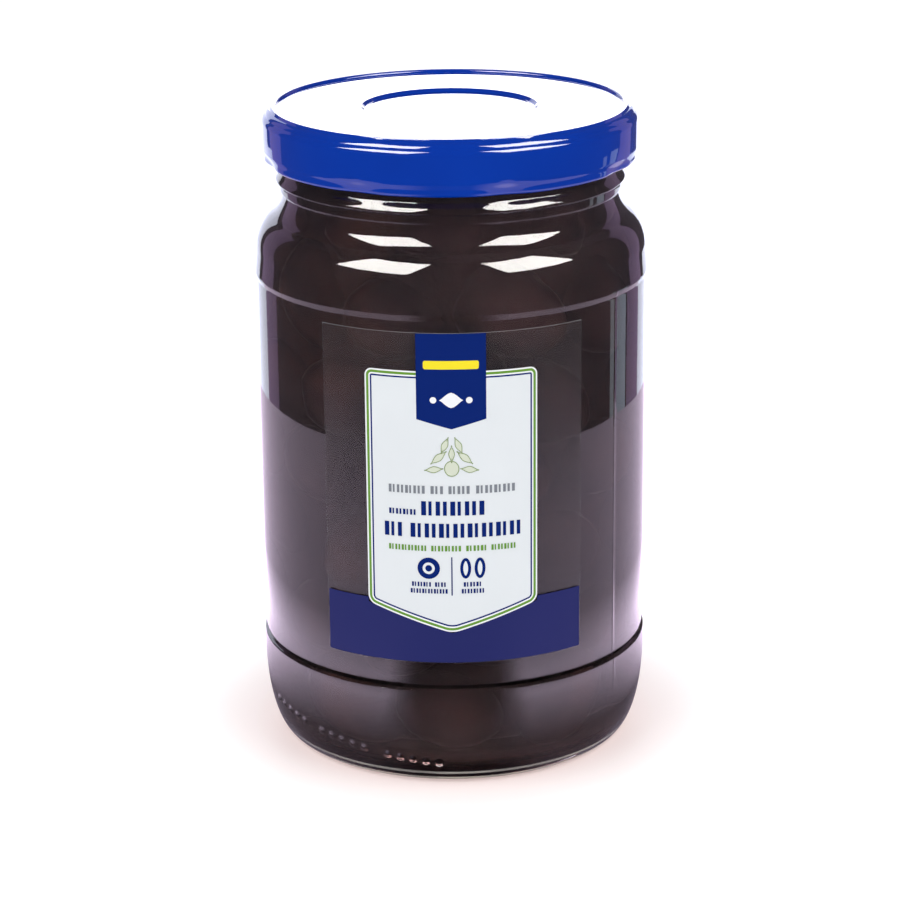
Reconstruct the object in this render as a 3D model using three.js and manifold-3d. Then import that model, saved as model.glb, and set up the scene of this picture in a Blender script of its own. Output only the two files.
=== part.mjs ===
// A large round glass jar of dark olives, with a twist-off lid and a clear film label on its front.
// Millimetres, +Z up, the origin in the middle of the ring that the jar stands on, the label towards -Y.
import * as THREE from 'three';
import { mergeVertices } from 'three/addons/utils/BufferGeometryUtils.js';
import Module from 'manifold-3d';

const wasm = await Module();
wasm.setup();

const facets = 44;                 // round the jar, lid and label, so that their faces lie parallel
const coreFacets = 22;

// glass, outside
const pushUp = 4.2;                // hollow under the foot
const bearingInner = 46.6;         // the flat ring that the jar stands on
const bearingOuter = 51.6;
const heelRadius = 59.1;
const heelTop = 26.5;
const heelLip = 31.2;              // the heel's upper edge, under the groove
const grooveRadius = 57.8;
const grooveHeight = 31.5;
const grooveTop = 33.2;
const panelRadius = 58.6;
const panelTop = 144.4;            // the step out from the label panel to the shoulder
const stepRadius = 59.2;
const stepHeight = 146;
const shoulderBottom = 152.9;
const shoulderBend = 12.9;
const shoulderLean = 49.4;           // degrees off upright where the shoulder is flattest
const neckRadius = 50.5;
const neckBend = 9.4;
const collarRadius = 51.2;         // low collar between neck and bead
const collarHeight = 170.1;        // its lower edge
const collarBend = 0.5;
const beadRadius = 52.3;           // bead just under the lid
const beadHeight = 174.1;
const beadBelow = 0.8;
const beadTop = 177.2;
const finishRadius = 50.7;
const rimTop = 193.7;
const rimBend = 1.2;

// glass, inside
const wall = 3.05;
const mouthRadius = 47.5;
const floorHeight = 6.3;
const floorRise = 3.4;             // the inside floor follows the hollow under the foot
const floorBendAcross = 10.5;
const floorBendUp = 13.6;

// lid
const sheet = 0.6;
const skirtRadius = 55.5;
const skirtTop = 187.8;
const flareRadius = 56.2;
const flareHeight = 191.4;
const crestRadius = 52.6;
const crestHeight = 195.6;
const crestBend = 0.9;
const panelEdge = 50.9;
const panelDrop = 0.9;             // from the crest down to the top panel
const discRadius = 25.4;
const discDrop = 0.9;              // from the top panel down to the disc in its middle
const discSlope = 0.9;
const curlRadius = 1.15;
const curlHeight = 180.5;          // centre of the rolled edge
const curlSweep = 225;
const lugCount = 8;
const firstLug = -28.5;            // degrees from the front
const lugSpread = 10;
const lugHeight = 3;
const lugDepth = 1.0;

// label
const labelBottom = 40.2;
const labelTop = 141.0;
const labelHalfAngle = 39.2;
const labelGap = 0.15;
const labelSheet = 0.25;

// olives
const oliveLength = 32;
const oliveWidth = 24;
const oliveMin = 0.9;              // sizes run from this share of the full size ...
const oliveSpread = 0.15;          // ... up to this much more
const oliveTilt = 1.9;             // radians that an olive's long axis may lie off level, both ways together
const oliveYaw = 0.8;
const oliveAround = 8;             // sides of an olive, round it and along it
const oliveAlong = 5;
const oliveRows = 7;
const olivesPerRow = 10;
const rowShake = 6;
const turnShake = 0.3;
const heapTop = 177;
const heapClear = 0.4;             // all the olives stay this far from the glass
const nudge = 0.6;                 // an olive that would cross the glass moves inwards by steps of this
const coreRadius = 44;
const coreBend = 10;
const crossing = 0.001;            // mm3

const rad = THREE.MathUtils.degToRad;

function point(r, z) {
  return new THREE.Vector2(r, z);
}

// points on an ellipse round (r, z), by angle in degrees from outward to upward
function arc(r, z, across, up, from, to, steps) {
  const points = [];
  for (let i = 0; i <= steps; i += 1) {
    const a = rad(from + ((to - from) * i) / steps);
    points.push(point(r + across * Math.cos(a), z + up * Math.sin(a)));
  }
  return points;
}

// The round shoulder, the slope and the hollow that turns up into the neck.
// The inset moves the curve into the glass, for its inside.
function shoulderCurve(inset, neck, steps) {
  const bend = shoulderBend - inset;
  const hollow = neckBend + inset;
  const lean = rad(shoulderLean);
  const round = arc(panelRadius - shoulderBend, shoulderBottom, bend, bend, 0, shoulderLean, steps);
  const last = round[round.length - 1];
  const turnRadius = neck + hollow;
  const slopeRadius = turnRadius - hollow * Math.cos(lean);
  const slopeHeight = last.y + (last.x - slopeRadius) / Math.tan(lean);
  const turnHeight = slopeHeight + hollow * Math.sin(lean);
  return [...round, ...arc(turnRadius, turnHeight, hollow, hollow, 180 + shoulderLean, 180, steps)];
}

function outsideProfile() {
  return [
    ...arc(0, 0, bearingInner, pushUp, 90, 0, 4),
    ...arc(bearingOuter, heelTop, heelRadius - bearingOuter, heelTop, -90, 0, 6),
    point(heelRadius, heelLip),
    point(grooveRadius, grooveHeight),
    point(panelRadius, grooveTop),
    point(panelRadius, panelTop),
    point(stepRadius, stepHeight),
    ...shoulderCurve(0, neckRadius, 4),
    ...arc(collarRadius - collarBend, collarHeight + collarBend, collarBend, collarBend, -90, 0, 2),
    ...arc(collarRadius, beadHeight, beadRadius - collarRadius, beadBelow, -90, 0, 2),
    point(finishRadius, beadTop),
    ...arc(finishRadius - rimBend, rimTop - rimBend, rimBend, rimBend, 0, 90, 2),
  ];
}

function insideProfile() {
  const bodyRadius = panelRadius - wall;
  const floorRadius = bodyRadius - floorBendAcross;
  return [
    ...arc(mouthRadius + rimBend, rimTop - rimBend, rimBend, rimBend, 90, 180, 2),
    ...shoulderCurve(wall, mouthRadius, 3).reverse(),
    ...arc(floorRadius, floorHeight + floorBendUp, floorBendAcross, floorBendUp, 0, -90, 5),
    ...arc(0, floorHeight, floorRadius, floorRise, 30, 90, 2),
  ];
}

// a closed outline turned about Z, with a facet edge at the front
function turned(points, count = facets) {
  const geometry = new THREE.LatheGeometry(points, count);
  geometry.rotateX(Math.PI / 2);
  return geometry;
}

function jarGeometry() {
  return turned([...outsideProfile(), ...insideProfile()]);
}

// up the inside of the pressed sheet from the middle of the panel to the curl, then up the outside
function lidProfile() {
  const panelHeight = crestHeight - panelDrop;
  const discHeight = panelHeight - discDrop;
  const curlMiddle = skirtRadius - curlRadius;
  const flare = flareRadius - crestRadius;
  const crown = crestHeight - flareHeight;
  const crestLow = crestHeight - crestBend;
  return [
    point(0, discHeight - sheet),
    point(discRadius, discHeight - sheet),
    point(discRadius + discSlope, panelHeight - sheet),
    point(panelEdge + sheet / 2, panelHeight - sheet),
    ...arc(crestRadius, crestLow, crestBend - sheet, crestBend - sheet, 180, 90, 1),
    ...arc(crestRadius, flareHeight, flare - sheet, crown - sheet, 60, 0, 2),
    point(skirtRadius - sheet, skirtTop),
    point(skirtRadius - sheet, curlHeight + curlRadius + sheet),
    ...arc(curlMiddle, curlHeight, curlRadius, curlRadius, 360 - curlSweep, 360, 6),
    point(skirtRadius, skirtTop),
    ...arc(crestRadius, flareHeight, flare, crown, 0, 90, 4),
    ...arc(crestRadius, crestLow, crestBend, crestBend, 120, 180, 2),
    point(panelEdge, panelHeight),
    point(discRadius + discSlope, panelHeight),
    point(discRadius, discHeight),
    point(0, discHeight),
  ];
}

// the places where the rolled edge is pressed inwards to grip the glass
function pressLugs(geometry) {
  const position = geometry.getAttribute('position');
  const pitch = 360 / lugCount;
  for (let i = 0; i < position.count; i += 1) {
    const x = position.getX(i);
    const y = position.getY(i);
    const angle = THREE.MathUtils.radToDeg(Math.atan2(x, -y)) - firstLug;
    const off = THREE.MathUtils.euclideanModulo(angle + pitch / 2, pitch) - pitch / 2;
    const near = Math.abs(off) < lugSpread ? (1 + Math.cos((Math.PI * off) / lugSpread)) / 2 : 0;
    const low = THREE.MathUtils.clamp((curlHeight + lugHeight - position.getZ(i)) / lugHeight, 0, 1);
    const scale = 1 - (lugDepth * near * low) / skirtRadius;
    position.setXY(i, x * scale, y * scale);
  }
  return geometry;
}

function lidGeometry() {
  return pressLugs(turned(lidProfile()));
}

// a curved strip, with its corners at the jar's own facet edges
function labelGeometry() {
  const pitch = 360 / facets;
  const inside = Math.floor(labelHalfAngle / pitch);
  const angles = [-labelHalfAngle];
  for (let i = -inside; i <= inside; i += 1) {
    angles.push(i * pitch);
  }
  angles.push(labelHalfAngle);
  const inner = panelRadius + labelGap;
  const onArc = (r, a) => point(r * Math.sin(rad(a)), -r * Math.cos(rad(a)));
  const front = angles.map((a) => onArc(inner + labelSheet, a));
  const back = angles.map((a) => onArc(inner, a)).reverse();
  const depth = labelTop - labelBottom;
  const outline = new THREE.Shape([...front, ...back]);
  const strip = new THREE.ExtrudeGeometry(outline, { depth, bevelEnabled: false });
  strip.translate(0, 0, labelBottom);
  return strip;
}

function solidOf(geometry) {
  geometry.deleteAttribute('normal');
  geometry.deleteAttribute('uv');
  const merged = mergeVertices(geometry, 1e-4);
  const vertProperties = Float32Array.from(merged.getAttribute('position').array);
  const triVerts = Uint32Array.from(merged.index.array);
  return new wasm.Manifold(new wasm.Mesh({ numProp: 3, vertProperties, triVerts }));
}

function geometryOf(solid) {
  const mesh = solid.getMesh();
  const geometry = new THREE.BufferGeometry();
  geometry.setAttribute('position', new THREE.BufferAttribute(mesh.vertProperties, 3));
  geometry.setIndex(new THREE.BufferAttribute(mesh.triVerts, 1));
  return geometry;
}

// a repeatable source of numbers from 0 to 1
function makeRandom(seed) {
  let state = seed;
  return () => {
    state = (state * 1664525 + 1013904223) % 4294967296;
    return state / 4294967296;
  };
}

// the room inside the glass, less the clearance, that every olive stays in
function roomSolid() {
  const inside = insideProfile().reverse();
  const profile = inside.map((p) => point(Math.max(p.x - heapClear, 0), p.y + heapClear));
  return solidOf(turned([...profile, point(0, rimTop + heapClear)]));
}

// one olive, turned at random, moved in from the wall until it lies inside the room
function oliveSolid(room, angle, height, random) {
  const size = oliveMin + oliveSpread * random();
  const wide = (oliveWidth / 2) * size;
  const geometry = new THREE.SphereGeometry(1, oliveAround, oliveAlong);
  geometry.rotateZ(Math.PI / 2);
  geometry.scale((oliveLength / 2) * size, wide, wide);
  geometry.rotateX(random() * Math.PI);
  geometry.rotateY((random() - 0.5) * oliveTilt);
  geometry.rotateZ((random() - 0.5) * oliveYaw);
  const olive = solidOf(geometry);
  let distance = panelRadius - wall - wide;
  let placed = olive;
  do {
    distance -= nudge;
    placed = olive.translate([Math.sin(angle) * distance, -Math.cos(angle) * distance, height]);
  } while (placed.subtract(room).volume() > crossing);
  return placed;
}

function coreGeometry() {
  const bottom = floorHeight + floorRise + heapClear;
  const flat = coreRadius - coreBend;
  return turned([
    point(0, bottom),
    ...arc(flat, bottom + coreBend, coreBend, coreBend, -90, 0, 2),
    ...arc(flat, heapTop - coreBend, coreBend, coreBend, 0, 90, 2),
    point(0, heapTop),
  ], coreFacets);
}

// the olives that show, fused to the core; what the fusing seals off is filled
function olivesGeometry() {
  const random = makeRandom(71);
  const room = roomSolid();
  const lowest = floorHeight + floorRise + oliveWidth / 2;
  const highest = heapTop - oliveWidth / 2;
  let heap = solidOf(coreGeometry());
  for (let row = 0; row < oliveRows; row += 1) {
    const level = lowest + ((highest - lowest) * row) / (oliveRows - 1);
    const shake = row > 0 && row < oliveRows - 1 ? rowShake : 0;
    for (let i = 0; i < olivesPerRow; i += 1) {
      const turn = (i + (row % 2) / 2 + turnShake * (random() - 0.5)) / olivesPerRow;
      const height = level + shake * (random() - 0.5);
      heap = heap.add(oliveSolid(room, turn * 2 * Math.PI, height, random));
    }
  }
  const shells = heap.decompose().sort((a, b) => b.volume() - a.volume());
  return geometryOf(shells[0]);
}

function material(color, roughness, metalness) {
  return new THREE.MeshStandardMaterial({ color, roughness, metalness });
}

function named(name, geometry, surface) {
  const mesh = new THREE.Mesh(geometry, surface);
  mesh.name = name;
  return mesh;
}

const glass = material(0xb9bcc8, 0.05, 0);
glass.transparent = true;
glass.opacity = 0.35;

const jar = new THREE.Group();
jar.add(
  named('glass_jar', jarGeometry(), glass),
  named('lid', lidGeometry(), material(0x0a3aa6, 0.18, 0.1)),
  named('label', labelGeometry(), material(0xe6ecf2, 0.4, 0)),
  named('olives', olivesGeometry(), material(0x2c2226, 0.35, 0)),
);

export default jar;
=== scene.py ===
import math

import bmesh
import bpy
from mathutils import Euler, Matrix, Quaternion, Vector


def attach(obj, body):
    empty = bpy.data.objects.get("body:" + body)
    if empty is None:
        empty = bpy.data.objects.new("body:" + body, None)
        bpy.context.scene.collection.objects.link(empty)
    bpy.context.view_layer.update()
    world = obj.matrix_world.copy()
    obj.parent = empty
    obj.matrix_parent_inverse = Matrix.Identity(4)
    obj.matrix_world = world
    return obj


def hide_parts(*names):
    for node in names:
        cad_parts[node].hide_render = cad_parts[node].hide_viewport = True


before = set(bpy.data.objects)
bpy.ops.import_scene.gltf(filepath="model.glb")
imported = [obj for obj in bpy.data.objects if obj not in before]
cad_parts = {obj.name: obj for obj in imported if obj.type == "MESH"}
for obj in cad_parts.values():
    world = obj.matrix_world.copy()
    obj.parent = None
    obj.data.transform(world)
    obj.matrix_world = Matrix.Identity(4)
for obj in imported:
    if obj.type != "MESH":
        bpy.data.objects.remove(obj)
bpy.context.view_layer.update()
mm = 0.001
weldDistance = 0.002 * mm
print("frame loaded:", sorted(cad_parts))


def arc(r, z, across, up, start, end, steps):
    # points on an ellipse round (r, z), by angle in degrees from outward to upward
    points = []
    for i in range(steps + 1):
        a = math.radians(start + (end - start) * i / steps)
        points.append((r + across * math.cos(a), z + up * math.sin(a)))
    return points


def eased(fromPoint, toPoint, steps, share=1.0):
    # a slope between two points, which starts and ends upright where the share is 1
    (fromRadius, fromHeight), (toRadius, toHeight) = fromPoint, toPoint
    points = []
    for i in range(steps + 1):
        t = i / steps
        ease = t * t * (3 - 2 * t) * share + t * (1 - share)
        radius = fromRadius + (toRadius - fromRadius) * ease
        points.append((radius, fromHeight + (toHeight - fromHeight) * t))
    return points


def closeTo(radius, height, offsets):
    # the few points that shape a small edge, given by how far they lie outward and upward
    return [(radius + outward, height + upward) for outward, upward in offsets]


def spun(points, steps, startAngle=0.0, sweep=360.0, closed=False):
    # a profile of (radius, height) in millimetres, turned about Z
    bm = bmesh.new()
    a = math.radians(startAngle)
    verts = [bm.verts.new((r * math.cos(a) * mm, r * math.sin(a) * mm, z * mm)) for r, z in points]
    edges = [bm.edges.new(pair) for pair in zip(verts, verts[1:])]
    if closed:
        edges.append(bm.edges.new((verts[-1], verts[0])))
    bmesh.ops.spin(bm, geom=verts + edges, cent=(0, 0, 0), axis=(0, 0, 1),
                   angle=math.radians(sweep), steps=steps, use_merge=sweep == 360.0)
    return bm


def addPiece(name, bm, materials, smooth=True, sharpAngle=35):
    bmesh.ops.remove_doubles(bm, verts=bm.verts, dist=weldDistance)
    bmesh.ops.recalc_face_normals(bm, faces=bm.faces)
    mesh = bpy.data.meshes.new(name)
    bm.to_mesh(mesh)
    bm.free()
    for material in materials:
        mesh.materials.append(material)
    if smooth:
        mesh.polygons.foreach_set("use_smooth", [True] * len(mesh.polygons))
        mesh.set_sharp_from_angle(angle=math.radians(sharpAngle))
    piece = bpy.data.objects.new(name, mesh)
    bpy.context.scene.collection.objects.link(piece)
    return piece


def newMaterial(name, look):
    material = bpy.data.materials.new(name)
    material.use_nodes = True
    shader = material.node_tree.nodes["Principled BSDF"]
    for socket, value in look.items():
        shader.inputs[socket].default_value = value
    return material, shader


def addNode(material, kind, **values):
    node = material.node_tree.nodes.new(kind)
    for key, value in values.items():
        setattr(node, key, value)
    return node


def join(material, output, socket):
    material.node_tree.links.new(output, socket)


def noiseOf(material, scale, detail=3.0, stretch=(1.0, 1.0, 1.0), shift=(0.0, 0.0, 0.0)):
    place = addNode(material, "ShaderNodeTexCoord")
    mapping = addNode(material, "ShaderNodeMapping")
    mapping.inputs["Scale"].default_value = stretch
    mapping.inputs["Location"].default_value = shift
    noise = addNode(material, "ShaderNodeTexNoise")
    noise.inputs["Scale"].default_value = scale
    noise.inputs["Detail"].default_value = detail
    join(material, place.outputs["Object"], mapping.inputs["Vector"])
    join(material, mapping.outputs["Vector"], noise.inputs["Vector"])
    return noise.outputs["Fac"]


def ranged(material, value, low, high, fromLow=0.35, fromHigh=0.65):
    node = addNode(material, "ShaderNodeMapRange")
    join(material, value, node.inputs["Value"])
    node.inputs["From Min"].default_value = fromLow
    node.inputs["From Max"].default_value = fromHigh
    node.inputs["To Min"].default_value = low
    node.inputs["To Max"].default_value = high
    return node.outputs["Result"]


def mixedColour(material, amount, first, second):
    node = addNode(material, "ShaderNodeMix", data_type="RGBA")
    join(material, amount, node.inputs["Factor"])
    for socket, colour in ((node.inputs[6], first), (node.inputs[7], second)):
        if isinstance(colour, tuple):
            socket.default_value = (*colour, 1.0)
        else:
            join(material, colour, socket)
    return node.outputs[2]


def bumped(material, shader, height, distance):
    node = addNode(material, "ShaderNodeBump")
    node.inputs["Strength"].default_value = 1.0
    node.inputs["Distance"].default_value = distance * mm
    join(material, height, node.inputs["Height"])
    join(material, node.outputs["Normal"], shader.inputs["Normal"])


def mathOf(material, operation, *values):
    node = addNode(material, "ShaderNodeMath", operation=operation)
    for socket, value in zip(node.inputs, values):
        if isinstance(value, (int, float)):
            socket.default_value = value
        else:
            join(material, value, socket)
    return node.outputs["Value"]


def product(material, first, *others):
    for other in others:
        first = mathOf(material, "MULTIPLY", first, other)
    return first


def gapTo(material, value, middle):
    return mathOf(material, "ABSOLUTE", mathOf(material, "SUBTRACT", value, middle))


def distanceFrom(material, middle):
    place = addNode(material, "ShaderNodeTexCoord")
    away = addNode(material, "ShaderNodeVectorMath", operation="DISTANCE")
    join(material, place.outputs["Object"], away.inputs[0])
    away.inputs[1].default_value = middle
    return away.outputs["Value"]


def axesOf(material):
    place = addNode(material, "ShaderNodeTexCoord")
    split = addNode(material, "ShaderNodeSeparateXYZ")
    join(material, place.outputs["Object"], split.inputs["Vector"])
    return [split.outputs[axis] for axis in ("X", "Y", "Z")]


def turnFromFront(material, x, y):
    # the angle round the jar, the same on the left and on the right
    return mathOf(material, "ABSOLUTE", mathOf(material, "ARCTAN2", x, product(material, y, -1.0)))


view = {
    "place": (-0.85, -862.0, 369.0),
    "tiltDown": 18.117,
    "roll": -0.54,
    "lens": 117.7,
}

camera = bpy.data.objects.new("camera", bpy.data.cameras.new("camera"))
camera.data.lens = view["lens"]
camera.location = Vector(view["place"]) * mm
tilt = Euler((math.radians(90 - view["tiltDown"]), 0, 0)).to_quaternion()
camera.rotation_mode = "QUATERNION"
camera.rotation_quaternion = tilt @ Quaternion((0, 0, 1), math.radians(view["roll"]))
bpy.context.scene.collection.objects.link(camera)
bpy.context.scene.camera = camera
bpy.context.scene.view_settings.view_transform = "Standard"
bpy.context.scene.view_settings.look = "None"
print("camera placed")


studio = {
    "floorSize": 5.0,
    "floorColour": (0.5, 0.5, 0.5), "floorRoughness": 0.6, "floorGloss": 0.1,
    "floorDrop": 0.3 * mm,
    "floorGlow": 0.75,
    # painted shade and reflection of the jar near its foot, in the floor's glow
    "paintedFootColour": (0.66, 0.5, 0.48), "footShadeReach": (0.052, 0.088),
    "tableRadius": 0.38,             # the white round table top that the glass mirrors
    "tableColour": (0.93, 0.77, 1.0),
    # painted light and shade on the table disc: a pool of light near the jar, shade in front of it
    # and a contact shadow round its foot
    "tableGlow": 1.4, "tableNearLight": 3.2, "nearReach": (0.14, 0.18),
    "tableFrontShadow": 0.15, "frontTurn": (12, 32),        # degrees from the front
    "shadeMiddle": (0.003, -0.15, 0.0), "shadeReach": (0.05, 0.085), "shade": 0.1,
    "contactShadowReach": (0.07, 0.13), "contactShadow": 0.08,
    "ambient": (0.115, 0.1, 0.13),
    "cardMiddle": 0.1, "cardSteps": (12, 24),
    "cards": {
        # azimuth from the front, half width, lean, elevation low and high,
        # distance, colour, strength
        "card_back": (180, 16, 0, 5, 30, 1.7, (1.0, 0.98, 1.0), 5.0),
        "card_back_low": (181.5, 38.5, 0, -30, -11, 1.75, (0.82, 0.84, 1.0), 2.1),
        "card_back_high": (186, 26, 0, -11, 30, 1.75, (0.82, 0.84, 1.0), 2.1),
        "card_left_dim": (-133, 9, 0, -30, 30, 1.8, (0.85, 0.6, 1.0), 0.65),
        "card_right_dim": (134, 9, 0, -30, 30, 1.8, (0.85, 0.6, 1.0), 0.65),
        "card_right_a": (118, 4.5, 0, -19, -9, 1.2, (0.72, 0.82, 1.0), 1.35),
        "card_right_b": (107, 2.0, 0, -19, -9, 1.2, (0.8, 0.88, 1.0), 1.2),
        "softbox_left": (-45, 24, 11, 28, 56, 1.3, (1.0, 0.97, 0.94), 22.0),
        "softbox_right": (52, 23, -11, 28, 56, 1.3, (1.0, 0.97, 0.94), 22.0),
    },
    "lampAim": (0.0, 0.0, 0.09),
    "lamps": {
        # place, width, height, watts, colour
        "lamp_left": ((-0.75, -0.5, 1.15), 1.1, 0.8, 10.5, (1.0, 0.98, 0.96)),
        "lamp_right": ((0.75, -0.5, 1.15), 1.1, 0.8, 10.5, (1.0, 0.98, 0.96)),
        "lamp_front": ((0.0, -2.2, 0.7), 1.2, 1.0, 10.0, (1.0, 0.99, 1.0)),
    },
}


def glowing(name, colour, strength):
    material = bpy.data.materials.new(name)
    material.use_nodes = True
    material.node_tree.nodes.clear()
    glow = addNode(material, "ShaderNodeEmission")
    glow.inputs["Color"].default_value = (*colour, 1.0)
    glow.inputs["Strength"].default_value = strength
    end = addNode(material, "ShaderNodeOutputMaterial")
    join(material, glow.outputs["Emission"], end.inputs["Surface"])
    return material, glow


def addStage(name, bm, material, seenBy):
    mesh = bpy.data.meshes.new(name)
    bm.to_mesh(mesh)
    bm.free()
    mesh.materials.append(material)
    thing = bpy.data.objects.new(name, mesh)
    bpy.context.scene.collection.objects.link(thing)
    for kind in ("camera", "diffuse", "glossy", "transmission", "shadow"):
        setattr(thing, "visible_" + kind, kind in seenBy)


def floorMaterial():
    look, shader = newMaterial("studio_floor", {
        "Base Color": (*studio["floorColour"], 1.0),
        "Roughness": studio["floorRoughness"],
        "Specular IOR Level": studio["floorGloss"],
        "Emission Strength": studio["floorGlow"],
    })
    # painted shade and reflection of the jar: the floor's glow turns pinkish and dimmer close to
    # its foot
    near = ranged(look, distanceFrom(look, (0, 0, 0)), 0.0, 1.0, *studio["footShadeReach"])
    glow = mixedColour(look, near, studio["paintedFootColour"], (1, 1, 1))
    join(look, glow, shader.inputs["Emission Color"])
    return look


def tableMaterial():
    # a glowing disc seen only in reflections, standing for the lit table: a painted pool of light
    # near the jar, painted shade in front of it and a painted contact shadow where it stands
    t = studio
    look, glow = glowing("studio_table", t["tableColour"], 1.0)
    around = distanceFrom(look, (0, 0, 0))
    level = ranged(look, around, t["tableNearLight"], t["tableGlow"], *t["nearReach"])
    shade = ranged(look, distanceFrom(look, t["shadeMiddle"]), t["shade"], 1.0, *t["shadeReach"])
    contactShadow = ranged(look, around, t["contactShadow"], 1.0, *t["contactShadowReach"])
    x, y, _ = axesOf(look)
    turn = turnFromFront(look, x, y)
    frontTurn = [math.radians(a) for a in t["frontTurn"]]
    front = ranged(look, turn, t["tableFrontShadow"], 1.0, *frontTurn)
    join(look, product(look, level, shade, contactShadow, front), glow.inputs["Strength"])
    return look


def addCard(name, azimuth, half, lean, low, high, distance, colour, strength):
    # part of a sphere round the jar, so that it covers just these angles
    bm = bmesh.new()
    upSteps, turnSteps = studio["cardSteps"]
    verts = []
    for i in range(upSteps + 1):
        up = math.radians(low + (high - low) * i / upSteps)
        a = math.radians(azimuth - half + lean * (i / upSteps - 0.5))
        spot = (math.sin(a) * math.cos(up), -math.cos(a) * math.cos(up), math.sin(up))
        verts.append(bm.verts.new(Vector(spot) * distance + Vector((0, 0, studio["cardMiddle"]))))
    edges = [bm.edges.new(pair) for pair in zip(verts, verts[1:])]
    bmesh.ops.spin(bm, geom=verts + edges, cent=(0, 0, 0), axis=(0, 0, 1),
                   angle=math.radians(2 * half), steps=turnSteps, use_merge=False)
    seenBy = ("glossy", "transmission") if "back" in name else ("glossy",)
    look, _ = glowing(name, colour, strength)
    addStage(name, bm, look, seenBy)


def addLamp(name, place, width, height, watts, colour):
    lamp = bpy.data.objects.new(name, bpy.data.lights.new(name, "AREA"))
    lamp.data.shape = "RECTANGLE"
    lamp.data.size = width
    lamp.data.size_y = height
    lamp.data.energy = watts
    lamp.data.color = colour
    lamp.location = place
    aim = Vector(studio["lampAim"]) - Vector(place)
    lamp.rotation_mode = "QUATERNION"
    lamp.rotation_quaternion = aim.to_track_quat("-Z", "Y")
    lamp.visible_camera = False
    lamp.visible_glossy = False
    bpy.context.scene.collection.objects.link(lamp)


def makeWorld():
    # white where the camera sees it, and dim where it lights the jar
    world = bpy.data.worlds.new("studio")
    world.use_nodes = True
    nodes = world.node_tree.nodes
    links = world.node_tree.links
    nodes.clear()
    seen = nodes.new("ShaderNodeLightPath")
    plain = nodes.new("ShaderNodeBackground")
    plain.inputs["Color"].default_value = (1, 1, 1, 1)
    around = nodes.new("ShaderNodeBackground")
    around.inputs["Color"].default_value = (*studio["ambient"], 1.0)
    either = nodes.new("ShaderNodeMixShader")
    end = nodes.new("ShaderNodeOutputWorld")
    links.new(seen.outputs["Is Camera Ray"], either.inputs["Fac"])
    links.new(around.outputs["Background"], either.inputs[1])
    links.new(plain.outputs["Background"], either.inputs[2])
    links.new(either.outputs["Shader"], end.inputs["Surface"])
    bpy.context.scene.world = world


def makeStudio():
    bm = bmesh.new()
    bmesh.ops.create_grid(bm, x_segments=1, y_segments=1, size=studio["floorSize"],
                          matrix=Matrix.Translation((0, 0, -studio["floorDrop"])))
    floorSeenBy = ("camera", "diffuse", "transmission", "shadow")
    addStage("studio_floor", bm, floorMaterial(), floorSeenBy)
    bm = bmesh.new()
    bmesh.ops.create_circle(bm, cap_ends=True, segments=96, radius=studio["tableRadius"],
                            matrix=Matrix.Translation((0, 0, -studio["floorDrop"] / 2)))
    addStage("studio_table", bm, tableMaterial(), ("glossy",))
    for name, card in studio["cards"].items():
        addCard(name, *card)
    for name, lamp in studio["lamps"].items():
        addLamp(name, *lamp)
    makeWorld()


makeStudio()
print("studio lit")


glass = {
    "pushUp": 4.2, "bearingInner": 46.6, "bearingOuter": 51.6,
    "heelRadius": 59.1, "heelTop": 26.5,
    "heelLip": 31.2, "grooveRadius": 57.8, "grooveHeight": 31.5, "grooveTop": 33.2,
    "panelRadius": 58.6, "panelTop": 144.4,
    "stepRadius": 59.2, "stepHeight": 146.0,
    # small edges: how far each point lies outward and upward
    "lipEdge": ((0, -0.3), (-0.02, -0.1), (-0.12, 0)),
    "grooveEdge": ((0, 0), (0.04, 0.15)),
    "panelLowEdge": ((-0.06, -0.15), (0, 0), (0, 0.5)),
    "panelHighEdge": ((0, -0.5), (0, 0), (0.04, 0.15)),
    "stepEdge": ((-0.04, -0.12), (0, 0.1), (-0.03, 0.5)),
    "shoulderBottom": 152.9, "shoulderBend": 12.9, "shoulderLean": 49.4,
    "neckRadius": 50.5, "neckBend": 9.4,
    "collarRadius": 51.2, "collarHeight": 170.1, "collarBend": 1.1,
    "beadRadius": 52.3, "beadHeight": 174.1, "beadBelow": 0.8, "beadTop": 177.2,
    "beadEase": 0.5,
    "finishRadius": 50.7, "rimTop": 193.7, "rimBend": 1.2,
    "wall": 3.05, "mouthRadius": 47.5,
    "floorHeight": 6.3, "floorRise": 3.4, "floorBendAcross": 10.5, "floorBendUp": 13.6,
    "wetBelow": 20.0,                # the floor inside, whose faces look up
    "steps": 160,
    "index": 1.52,
    "tint": (0.94, 0.97, 0.96),
    "wobble": 0.05, "wobbleScale": 38.0, "wobbleStretch": (1, 1, 0.6),
    # painted highlight lines at the foot, in a cream colour
    "footHighlightLines": ((1.0, 0.75, 0.75), (3.4, 0.6, 0.4)),     # height, half width, strength
    "footCore": 0.4, "footPatches": (0.55, 1.0), "footPatchScale": 30.0,
    "paintedFootColour": (0.75, 0.7, 0.52),
    # painted shade in the groove over the heel
    "grooveShadeColour": (0.06, 0.05, 0.06), "grooveFade": (0.6, 1.0),
    "grooveOutside": 57.0, "panelOutside": 57.5,
}


def shoulderCurve(inset, neck, steps):
    g = glass
    bend = g["shoulderBend"] - inset
    hollow = g["neckBend"] + inset
    leanAngle = g["shoulderLean"]
    lean = math.radians(leanAngle)
    middle = g["panelRadius"] - g["shoulderBend"]
    points = arc(middle, g["shoulderBottom"], bend, bend, 0, leanAngle, steps)
    lastR, lastZ = points[-1]
    turnRadius = neck + hollow
    slopeRadius = turnRadius - hollow * math.cos(lean)
    slopeHeight = lastZ + (lastR - slopeRadius) / math.tan(lean)
    turnHeight = slopeHeight + hollow * math.sin(lean)
    return points + arc(turnRadius, turnHeight, hollow, hollow, 180 + leanAngle, 180, steps)


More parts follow.
